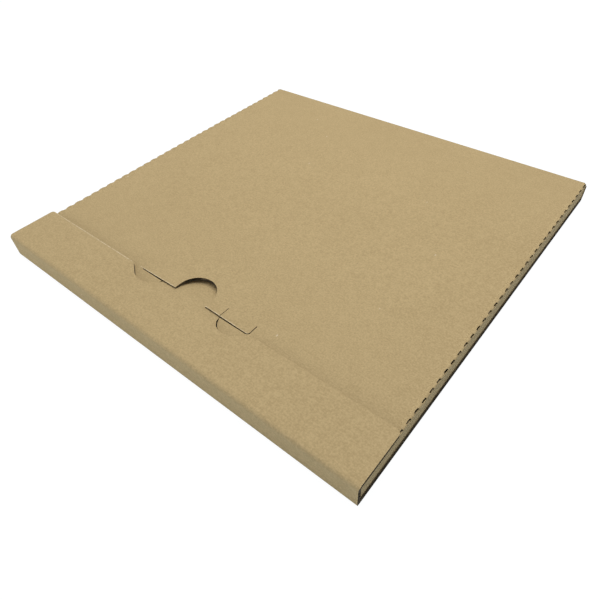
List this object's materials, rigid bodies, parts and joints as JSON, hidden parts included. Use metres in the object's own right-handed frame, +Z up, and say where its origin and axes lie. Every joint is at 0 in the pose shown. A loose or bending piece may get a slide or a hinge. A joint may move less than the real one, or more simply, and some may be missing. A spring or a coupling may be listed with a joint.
{
  "type": "record mailer box",
  "caption": "Flat square corrugated mailer for a record sleeve, with perforated side folds and a front flap whose tab tucks through a slit in the lid.",
  "frame": {"origin": "bottom centre of the box, on the surface that it lies on", "axes": "+X to the right along the front wall, +Y from the front wall to the back wall, +Z up"},
  "size_m": [0.33, 0.323, 0.0196],
  "materials": {
    "kraft_board": "matte brown kraft liner, bare fluted edges"
  },
  "bodies": {
    "box": {"mailer_body": "kraft_board"},
    "flap": {"closing_flap": "kraft_board"}
  },
  "joints": [
    {"name": "flap_fold", "type": "hinge", "parent": "box", "child": "flap", "pos_m": [0, -0.16076, 0.01891], "axis": [1, 0, 0], "range_deg": [0, 180]}
  ]
}
